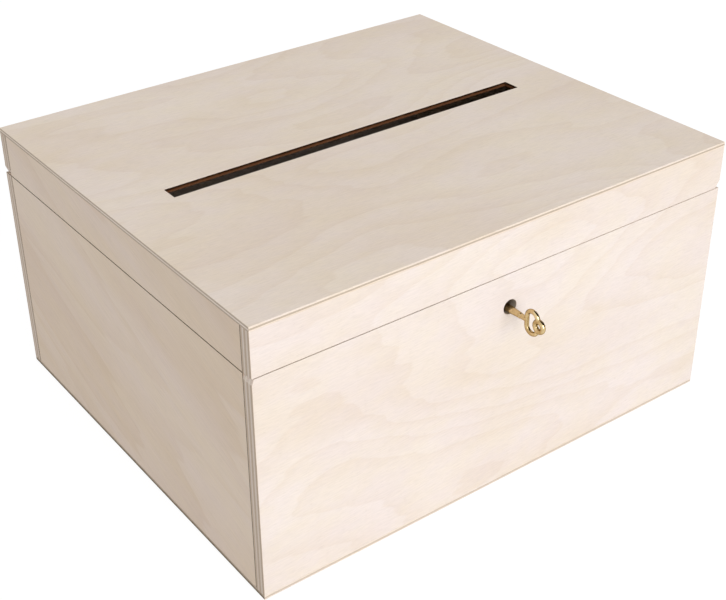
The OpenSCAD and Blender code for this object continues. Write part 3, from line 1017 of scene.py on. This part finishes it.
@dataclass(frozen=True)
class SoftBox:
    """A large square lamp.

    Args:
        name: Its name.
        azimuth: Where it stands, in degrees from the front towards the right.
        elevation: How high it stands, in degrees.
        distance: How far it is from the box, in metres.
        size: Its width and height, in metres.
        power: Its power, in watts.
    """

    name: str
    azimuth: float
    elevation: float
    distance: float
    size: tuple[float, float]
    power: float

    def light(self, target: Vector) -> None:
        """Sets the lamp up, aimed at a point."""
        azimuth, elevation = math.radians(self.azimuth), math.radians(self.elevation)
        level = math.cos(elevation)
        away = Vector((math.sin(azimuth) * level, -math.cos(azimuth) * level, math.sin(elevation)))
        data = bpy.data.lights.new(self.name, "AREA")
        data.shape = "RECTANGLE"
        data.size, data.size_y = self.size
        data.energy = self.power
        lamp = bpy.data.objects.new(self.name, data)
        lamp.location = target + away * self.distance
        lamp.rotation_euler = (-away).to_track_quat("-Z", "Y").to_euler()
        bpy.context.scene.collection.objects.link(lamp)


@dataclass(frozen=True)
class Camera:
    """The camera, above and to the left of the front.

    Args:
        lens: Its focal length, in millimetres.
        sensor: Width of its sensor, in millimetres.
        shift: How far the view is shifted across and up, in frame widths.
        place: Where it stands, in metres.
        turn: Its heading, in degrees.
        tilt: How far it looks down, in degrees.
        roll: How far it leans, in degrees.
        nearest: The nearest that it sees, in metres.
    """

    lens: float = 65.174
    sensor: float = 36.0
    shift: tuple[float, float] = (0.04067, -0.02656)
    place: tuple[float, float, float] = (-373.4 * MM, -510.7 * MM, 437.4 * MM)
    turn: float = -35.058
    tilt: float = 30.759
    roll: float = -1.213
    nearest: float = 0.01

    def build(self) -> None:
        """Places the camera and makes it the scene's own."""
        data = bpy.data.cameras.new("camera")
        data.sensor_width = self.sensor
        data.lens = self.lens
        data.shift_x, data.shift_y = self.shift
        data.clip_start = self.nearest
        camera = bpy.data.objects.new("camera", data)
        turn = Matrix.Rotation(math.radians(self.turn), 4, "Z")
        tilt = Matrix.Rotation(math.radians(90.0 - self.tilt), 4, "X")
        roll = Matrix.Rotation(math.radians(self.roll), 4, "Z")
        camera.matrix_world = Matrix.Translation(self.place) @ turn @ tilt @ roll
        bpy.context.scene.collection.objects.link(camera)
        bpy.context.scene.camera = camera


@dataclass
class Studio:
    """The floor, the soft lights and the camera.

    Args:
        sky: Strength of the even light from all round.
        lamps: The soft boxes.
        target: What the soft boxes are aimed at, in metres.
        camera: The camera.
        flag: Where the middle of the dark screen stands that only shows in the metal.
        flag_edge: Cosines of the angles from there where the screen starts and is whole.
        flag_shade: How bright the screen is.
        floor_size: Width of the floor, in metres.
        floor_drop: How far the floor lies under the box, in metres.
        floor_albedo: How much light the floor sends back to the box.
        floor_glow: How bright the floor shows where it is unlit.
        floor_paper: How much of the floor's brightness comes from the light on it.
    """

    sky: float = 0.665
    lamps: tuple[SoftBox, ...] = (
        SoftBox("front_softbox", azimuth=-4.0, elevation=20.0, distance=3.0, size=(2.0, 1.75), power=51.0),
    )
    target: tuple[float, float, float] = (0.0, 0.0, 75.0 * MM)
    camera: Camera = Camera()
    flag: tuple[float, float, float] = (0.66, -0.25, 0.71)
    flag_edge: tuple[float, float] = (0.50, 0.66)
    flag_shade: float = 0.02
    floor_size: float = 12.0
    floor_drop: float = 0.2 * MM
    floor_albedo: float = 0.65
    floor_glow: float = 0.90
    floor_paper: float = 0.16

    def build(self) -> None:
        """Sets everything up."""
        self.make_floor()
        self.make_world()
        for lamp in self.lamps:
            lamp.light(Vector(self.target))
        self.camera.build()
        bpy.context.scene.view_settings.view_transform = "Standard"

    def make_floor(self) -> None:
        """Lays a plain floor that shows white to the camera and in the metal."""
        bpy.ops.object.select_all(action="DESELECT")
        bpy.ops.mesh.primitive_plane_add(size=self.floor_size, location=(0.0, 0.0, -self.floor_drop))
        floor = bpy.context.active_object
        floor.name = "studio_floor"
        material = bpy.data.materials.new("studio_floor")
        material.use_nodes = True
        material.node_tree.nodes.clear()
        g = Graph(material.node_tree)
        seen = self.seen_directly(g)
        matt = g.node("ShaderNodeBsdfDiffuse")
        albedo = g.math("MULTIPLY_ADD", seen, self.floor_paper - self.floor_albedo, self.floor_albedo)
        g.feed(matt.inputs["Color"], g.join(albedo, albedo, albedo))
        glow = g.node("ShaderNodeEmission")
        g.feed(glow.inputs["Strength"], g.math("MULTIPLY", seen, self.floor_glow))
        both = g.node("ShaderNodeAddShader")
        g.feed(both.inputs[0], matt.outputs[0])
        g.feed(both.inputs[1], glow.outputs[0])
        end = g.node("ShaderNodeOutputMaterial")
        g.feed(end.inputs["Surface"], both.outputs[0])
        dress(floor, material)

    @staticmethod
    def seen_directly(g: Graph) -> Socket:
        """Tells the rays of the camera, of gloss and of glass from those that carry light."""
        path = g.node("ShaderNodeLightPath")
        seen = g.math("MAXIMUM", path.outputs["Is Camera Ray"], path.outputs["Is Glossy Ray"])
        return g.math("MAXIMUM", seen, path.outputs["Is Transmission Ray"])

    def make_world(self) -> None:
        """Surrounds the box with even light, white where it is seen, with a dark screen for the metal."""
        world = bpy.data.worlds.new("studio")
        world.use_nodes = True
        world.node_tree.nodes.clear()
        g = Graph(world.node_tree)
        around = g.node("ShaderNodeBackground")
        white = g.math("MULTIPLY_ADD", self.seen_directly(g), 1.0 - self.sky, self.sky)
        toward = g.node("ShaderNodeTexCoord").outputs["Generated"]
        nearness = g.vector("DOT_PRODUCT", toward, tuple(Vector(self.flag).normalized()))
        screen = g.remap(nearness, *self.flag_edge, 1.0, self.flag_shade)
        glossy = g.node("ShaderNodeLightPath").outputs["Is Glossy Ray"]
        hidden = g.math("MULTIPLY_ADD", glossy, g.math("SUBTRACT", screen, 1.0), 1.0)
        g.feed(around.inputs["Strength"], g.math("MULTIPLY", white, hidden))
        g.feed(around.inputs["Color"], (1.0, 1.0, 1.0))
        end = g.node("ShaderNodeOutputWorld")
        g.feed(end.inputs["Surface"], around.outputs[0])
        bpy.context.scene.world = world


# The whole ------------


def node_envelope() -> Envelope:
    """Reads the box's outer planes and its joint from the frame."""
    floor_low, floor_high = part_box("bottom_panel")
    lid_low, lid_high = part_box("lid_panel")
    base_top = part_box("front_board")[1][2]
    lid_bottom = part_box("lid_front_rail")[0][2]
    low = Vector((floor_low[0], floor_low[1], floor_low[2]))
    high = Vector((lid_high[0], lid_high[1], lid_high[2]))
    return Envelope(low, high, (base_top + lid_bottom) / 2)


def thickness(node: str, axis: Axis) -> float:
    """Measures a board across its plies, in metres."""
    low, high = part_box(node)
    return high[axis.value] - low[axis.value]


@dataclass
class CardBox:
    """The boards of the box, with their finishes.

    Args:
        box: The box's outer planes.
        board_t: Thickness of the boards, in metres.
        top_t: Thickness of the top panel.
        floor_t: Thickness of the bottom panel.
        planed: Width and height of the front board's bevel.
    """

    box: Envelope
    board_t: float
    top_t: float
    floor_t: float
    planed: tuple[float, float] = (1.0 * MM, 2.9 * MM)

    def build(self) -> None:
        """Makes the finishes, models the boards and gives the laser's cuts their finish: char in the
        openings, painted shade on the bottom panel's edge.
        """
        low, high = self.box.low, self.box.high
        # Each side's boards take a painted-light tint: cooler on the lit front and back, warmer on the shaded
        # sides, a little warm on the top.
        five_ply = partial(BoardFinish, thickness=self.board_t, plies=5)
        front = five_ply("birch_front", Axis.ALONG, Axis.BACK, low.y, 1.0,
                         seed=1.3, slant=3.0, contrast=1.2, sheet=LightTint.ROSY).make()
        back = five_ply("birch_back", Axis.ALONG, Axis.BACK, high.y, -1.0,
                        seed=7.9, slant=-2.0, contrast=1.2, sheet=LightTint.ROSY).make()
        left = five_ply("birch_left", Axis.BACK, Axis.ALONG, low.x, 1.0,
                        seed=4.2, slant=19.0, contrast=1.45, sheet=LightTint.HONEY, streak=2.4).make()
        right = five_ply("birch_right", Axis.BACK, Axis.ALONG, high.x, -1.0,
                         seed=5.6, slant=4.0, contrast=1.4, sheet=LightTint.HONEY, streak=2.4).make()
        top = BoardFinish("birch_top", Axis.ALONG, Axis.UP, high.z, -1.0, self.top_t, plies=3, seed=2.7,
                          slant=-2.0, contrast=1.2, edge=0.0, sheet=LightTint.PLAIN,
                          end=(0.560, 0.460, 0.360)).make()
        under = BoardFinish("birch_under", Axis.ALONG, Axis.UP, low.z, 1.0, self.floor_t, plies=3, seed=9.4,
                            slant=1.0, edge=0.0, end=(0.640, 0.540, 0.440)).make()
        char = CharAndShadeFinish("laser_cut_slot", Axis.UP, high.z, high.z - self.top_t,
                          dark=(0.020, 0.006, 0.002), light=(0.165, 0.068, 0.030)).make()
        # Keyhole wall: laser char, with painted shade darkening it deeper in the hole and a painted lighter
        # front where the wall catches the light.
        keyhole_char_shade = CharAndShadeFinish("keyhole_char_and_painted_shade", Axis.BACK, low.y + self.board_t, low.y,
                            dark=(0.150, 0.105, 0.070), light=(0.520, 0.460, 0.390), gloss=0.25).make()
        bevel = five_ply("birch_bevel", Axis.ALONG, Axis.BACK, low.y, 1.0, seed=1.3, slant=3.0, contrast=1.2,
                         edge=0.0, end=(0.830, 0.700, 0.610), glue=(0.200, 0.120, 0.070)).make()
        # Painted shade on the bottom panel's edge: darker towards the floor, where shade falls at the
        # contact.
        edge = CharAndShadeFinish("bottom_edge_painted_shade", Axis.UP, low.z + 0.5 * MM, low.z + self.floor_t,
                          dark=(0.260, 0.205, 0.150), light=(0.600, 0.500, 0.400)).make()
        # Dark seams and side lips: laser char, made darker still to stand in for the shade in the grooves.
        char_and_painted_shade = CharAndShadeFinish("seam_char_and_painted_shade", Axis.UP, low.z, high.z,
                           dark=(0.050, 0.034, 0.022), light=(0.085, 0.060, 0.042)).make()
        # Painted shade of the joint on the front and back lips: dark towards the left, where the real gap is
        # wider, fading to the board's colour on the right.
        rubbed = CharAndShadeFinish("rubbed_lip", Axis.ALONG, 0.5 * low.x, 0.5 * high.x,
                            dark=(0.110, 0.085, 0.065), light=(0.830, 0.735, 0.645)).make()

        base = Boards(Body.BASE, {
            "bottom_panel": under, "front_board": front, "back_board": back,
            "left_board": left, "right_board": right,
        }, char_and_painted_shade, rubbed, self.box, planed={"front_board": self.planed}).build()
        lid = Boards(Body.LID, {
            "lid_panel": top, "lid_front_rail": front, "lid_back_rail": back,
            "lid_left_rail": left, "lid_right_rail": right,
        }, char_and_painted_shade, rubbed, self.box).build()
        for board in (base["front_board"], lid["lid_front_rail"], lid["lid_back_rail"]):
            paint(board, bevel, is_end_bevel)

        # The bottom panel's left and right edges get painted shade, darker towards the floor.
        for start, end in ((-BEYOND, low.x), (high.x, BEYOND)):
            LaserCut(base["bottom_panel"], Axis.UP, Vector((start, -BEYOND, 0.0)), Vector((end, BEYOND, 0.0)),
                     edge).finish_walls()
        LaserCut(lid["lid_panel"], Axis.UP, Vector((-SLOT_HALF[0], -SLOT_HALF[1], 0.0)),
                 Vector((*SLOT_HALF, 0.0)), char).finish_walls()
        LaserCut(base["front_board"], Axis.BACK, Vector((-KEYHOLE_HALF, 0.0, KEYHOLE_HEIGHT - KEYHOLE_HALF)),
                 Vector((KEYHOLE_HALF, 0.0, KEYHOLE_HEIGHT + KEYHOLE_HALF)), keyhole_char_shade).finish_walls()


def build_metal() -> None:
    """Dresses the hinges, the lock and the strike, and models the key."""
    hinge_brass = MetalFinish("hinge_brass", (0.80, 0.62, 0.30), (0.58, 0.42, 0.20), 0.26, 0.42,
                              lines=(60.0, 1800.0, 1800.0)).make()
    zinc = MetalFinish("zinc_plate", (0.66, 0.67, 0.69), (0.47, 0.49, 0.51), 0.28, 0.45,
                       lines=(90.0, 900.0, 1500.0)).make()
    bolt_brass = MetalFinish("bolt_brass", (0.78, 0.60, 0.29), (0.55, 0.40, 0.19), 0.30, 0.45,
                             lines=(70.0, 1500.0, 1500.0)).make()
    spring = MetalFinish("blued_spring", (0.34, 0.36, 0.41), (0.20, 0.20, 0.24), 0.25, 0.40,
                         lines=(1500.0, 1500.0, 60.0)).make()
    # The key's dark rim tint paints dark reflections along its contours.
    key_brass = MetalFinish("key_brass", (0.80, 0.63, 0.36), (0.48, 0.33, 0.14), 0.12, 0.28,
                            lines=(900.0, 900.0, 900.0), rim=(0.14, 0.08, 0.04), depth=0.04 * MM).make()

    Hardware(hinge_brass, (
        "left_hinge_base_leaf", "right_hinge_base_leaf", "left_hinge_pin", "right_hinge_pin",
        "base_hinge_screws", "left_hinge_lid_leaf", "right_hinge_lid_leaf", "lid_hinge_screws",
    )).build()
    Hardware(zinc, (
        "lock_face_plate", "lock_case", "drill_pin", "bolt_guide_studs", "lock_screws",
        "strike_plate", "strike_screws",
    )).build()
    Hardware(bolt_brass, ("lock_bolt",)).build()
    Hardware(spring, ("bolt_spring",)).build()
    CastKey(key_brass).build()


def main() -> None:
    """Builds the box, its hardware and the studio."""
    logging.basicConfig(level=logging.INFO, format="%(name)s: %(message)s")
    CardBox(
        box=node_envelope(),
        board_t=thickness("front_board", Axis.BACK),
        top_t=thickness("lid_panel", Axis.UP),
        floor_t=thickness("bottom_panel", Axis.UP),
    ).build()
    build_metal()
    Studio().build()


if __name__ == "__main__":
    main()
